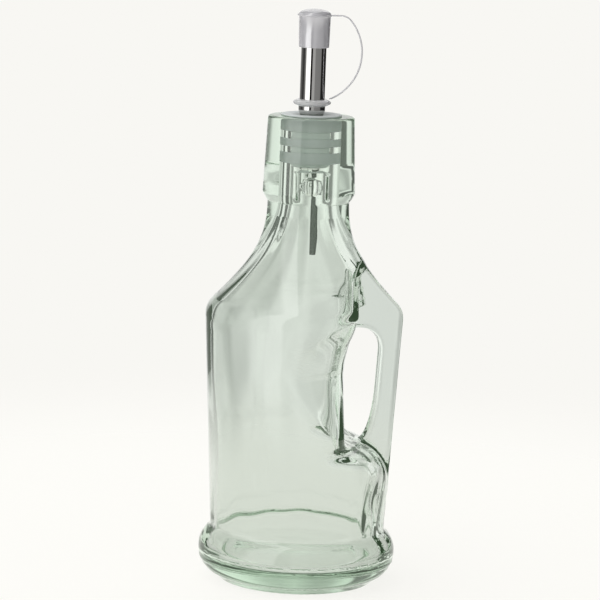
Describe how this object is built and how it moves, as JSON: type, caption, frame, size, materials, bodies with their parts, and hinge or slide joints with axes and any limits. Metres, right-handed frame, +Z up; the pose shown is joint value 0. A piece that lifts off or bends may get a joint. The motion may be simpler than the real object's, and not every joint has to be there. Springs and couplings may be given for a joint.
{
  "type": "pouring bottle for oil",
  "caption": "Glass oil bottle with a built-in side handle and a swing-top style collar, closed by a push-in steel pourer with a tethered cap.",
  "frame": {"origin": "centre of the circle that the foot rests on", "axes": "+Z up along the bottle's axis, +X from the axis to the handle, +Y to the back collar recess"},
  "size_m": [0.079, 0.079, 0.2292],
  "materials": {
    "green_glass": "clear pressed glass with a pale green tint, fire-polished",
    "soft_plastic": "soft translucent polyethylene, satin",
    "steel": "polished stainless steel",
    "clear_plastic": "translucent colourless polyethylene"
  },
  "bodies": {
    "bottle": {"glass_bottle": "green_glass"},
    "pourer": {"stopper": "soft_plastic", "spout_tube": "steel", "spout_ferrule": "steel", "vent_tube": "steel"},
    "tether": {"tether_ring": "clear_plastic", "tether_strap": "clear_plastic"},
    "cap": {"pour_cap": "clear_plastic"}
  },
  "joints": [
    {"name": "pourer_lift", "type": "slide", "parent": "bottle", "child": "pourer", "axis": [0, 0, 1], "range_m": [0, 0.06]},
    {"name": "ring_turn", "type": "hinge", "parent": "pourer", "child": "tether", "pos_m": [0, 0, 0.1922], "axis": [0, 0, 1], "continuous": true},
    {"name": "cap_lift", "type": "slide", "parent": "tether", "child": "cap", "axis": [0, 0, 1], "range_m": [0, 0.0085], "deforming": ["tether_strap"]}
  ]
}
